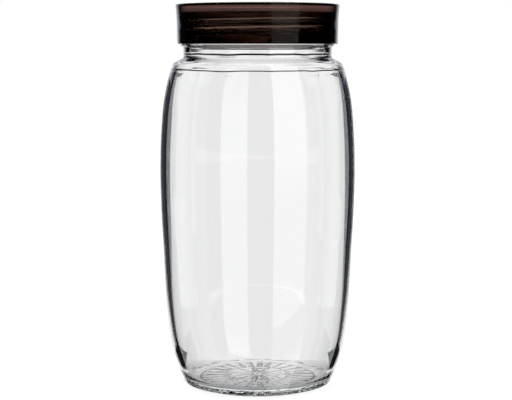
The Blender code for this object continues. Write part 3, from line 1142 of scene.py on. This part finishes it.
def make_cards(studio, camera, jar):
    """What the glass and the gloss show: a backdrop, dark strips by the edges, panels and a softbox."""
    white = level_material("card_white")
    soft = level_material("softbox_white", SOFTBOX_THROUGH_GLASS)
    cool = level_material("gloss_white", faded_level=GLOSS_FADED_LEVEL)
    fade_angles = (studio.backdrop_angle, studio.backdrop_end_angle)

    def backdrop(name, place, low, high, look=white, angles=fade_angles):
        first, last = (BACKDROP_DISTANCE * math.tan(angle) for angle in angles)
        across = [
            (first + (last - first) * step / FADE_STEPS, 1.0 - smooth_step(step / FADE_STEPS))
            for step in range(FADE_STEPS + 1)
        ]
        across.append((BACKDROP_HALF_WIDTH, 0.0))
        across = [(-x, level) for x, level in reversed(across)] + across
        rows = [
            [((x, place, height), studio.backdrop_strength * level) for x, level in across]
            for height in (low, high)
        ]
        return card(name, look, rows)

    def cloth(name, across, along):
        made = card(name, white, [[((x, y, CLOTH_HEIGHT), 0.0) for x in across] for y in along])
        made.visible_glossy = False
        return made

    softbox_ends = (SOFTBOX_LEFT, SOFTBOX_RIGHT)
    softbox_rows = [
        [((x, -SOFTBOX_DISTANCE, height), studio.softbox_strength * share) for x in softbox_ends]
        for height, share in SOFTBOX_LEVELS
    ]
    shade_rows = [
        [((x, y, SHADE_HEIGHT), level) for x in (-SHADE_HALF_WIDTH, SHADE_HALF_WIDTH)]
        for y, level in SHADE_LEVELS
    ]
    low_backdrop = backdrop("backdrop", BACKDROP_DISTANCE, BACKDROP_LOW, BACKDROP_TOP)
    gloss_top = backdrop("gloss_top", GLOSS_DISTANCE, GLOSS_LOW, CANOPY_TOP, cool)
    gloss_top.visible_transmission = False
    everywhere = [
        low_backdrop,
        gloss_top,
        card("softbox", soft, softbox_rows),
        cloth("cloth", (-CLOTH_HALF_WIDTH, CLOTH_HALF_WIDTH), (CLOTH_NEAR, CLOTH_FAR)),
        cloth("cloth_left", (-SIDE_CLOTH_FAR, -SIDE_CLOTH_NEAR), (CLOTH_NEAR, STRIP_PLACE)),
        cloth("cloth_right", (SIDE_CLOTH_NEAR, SIDE_CLOTH_FAR), (CLOTH_NEAR, STRIP_PLACE)),
    ]
    shade = card("shade", white, shade_rows)
    shade.visible_glossy = False
    everywhere.append(shade)
    glass_only = [backdrop("canopy", CANOPY_DISTANCE, CANOPY_LOW, CANOPY_TOP, angles=CANOPY_ANGLES)]
    for side, name in ((-1, "left"), (1, "right")):
        near = (side * PANEL_DISTANCE, PANEL_NEAR)
        far = (side * PANEL_DISTANCE, PANEL_FAR)
        inner = (side * WING_NEAR_AXIS, WING_FAR)
        strip_rows = [
            [((side * (edge + away), STRIP_PLACE, height), level) for away, level in STRIP_LEVELS]
            for edge, height in STRIP_EDGE
        ]
        everywhere.append(card(f"strip_{name}", white, strip_rows))
        wing = upright(f"wing_{name}", white, far, inner, WING_LOW, WING_TOP, studio.backdrop_strength)
        wing.visible_glossy = False
        glass_only.append(wing)
        glass_only.append(
            upright(f"panel_{name}", white, near, far, 0.0, PANEL_TOP, studio.panel_strength)
        )
    receivers = bpy.data.collections.new("seen_by_glass")
    receivers.objects.link(jar)
    for item in glass_only:
        item.light_linking.receiver_collection = receivers
    for item in (*everywhere, *glass_only):
        facing = item.constraints.new("LOCKED_TRACK")
        facing.target = camera
        facing.track_axis = "TRACK_NEGATIVE_Y"
        facing.lock_axis = "LOCK_Z"


class JAR_OT_set_stage(bpy.types.Operator):
    """Build the floor, the camera, the cards and the light"""

    bl_idname = "storage_jar.set_stage"
    bl_label = "Set Stage"

    def execute(self, context):
        studio = context.scene.jar_studio
        make_floor(studio)
        make_world(studio)
        camera = make_camera(studio)
        make_cards(studio, camera, bpy.data.objects["clear_jar"])
        make_lamp(studio)
        context.scene.view_settings.view_transform = "Standard"
        return {"FINISHED"}


class JAR_PT_panel(bpy.types.Panel):
    """Sizes, colours and the steps that build the jar"""

    bl_idname = "JAR_PT_panel"
    bl_label = "Storage Jar"
    bl_space_type = "VIEW_3D"
    bl_region_type = "UI"
    bl_category = "Storage Jar"

    def draw(self, context):
        for label, group, operator in PARTS:
            box = self.layout.box()
            box.label(text=label)
            settings = getattr(context.scene, group)
            for name in settings.__annotations__:
                box.prop(settings, name)
            box.operator(operator.bl_idname)


PARTS = (
    ("Glass Jar", "jar_glass", JAR_OT_make_glass),
    ("Sealing Disc", "sealing_disc", JAR_OT_make_disc),
    ("Screw Lid", "screw_lid", JAR_OT_make_lid),
    ("Studio", "jar_studio", JAR_OT_set_stage),
)
GROUPS = {
    "jar_glass": JarGlassSizes,
    "sealing_disc": SealingDiscSizes,
    "screw_lid": ScrewLidSizes,
    "jar_studio": StudioSettings,
}
CLASSES = (*GROUPS.values(), *(operator for _, _, operator in PARTS), JAR_PT_panel)


def register():
    for item in CLASSES:
        bpy.utils.register_class(item)
    for name, group in GROUPS.items():
        setattr(bpy.types.Scene, name, PointerProperty(type=group))


def unregister():
    for name in GROUPS:
        delattr(bpy.types.Scene, name)
    for item in reversed(CLASSES):
        bpy.utils.unregister_class(item)


def clear_startup():
    """Removes what a new file holds: the cube, the lamp and the camera."""
    for name in ("Cube", "Light", "Camera"):
        if name in bpy.data.objects:
            bpy.data.objects.remove(bpy.data.objects[name])


def main():
    """Builds the three pieces and the stage."""
    clear_startup()
    register()
    bpy.ops.storage_jar.make_glass()
    bpy.ops.storage_jar.make_disc()
    bpy.ops.storage_jar.make_lid()
    bpy.ops.storage_jar.set_stage()


if __name__ == "__main__":
    main()
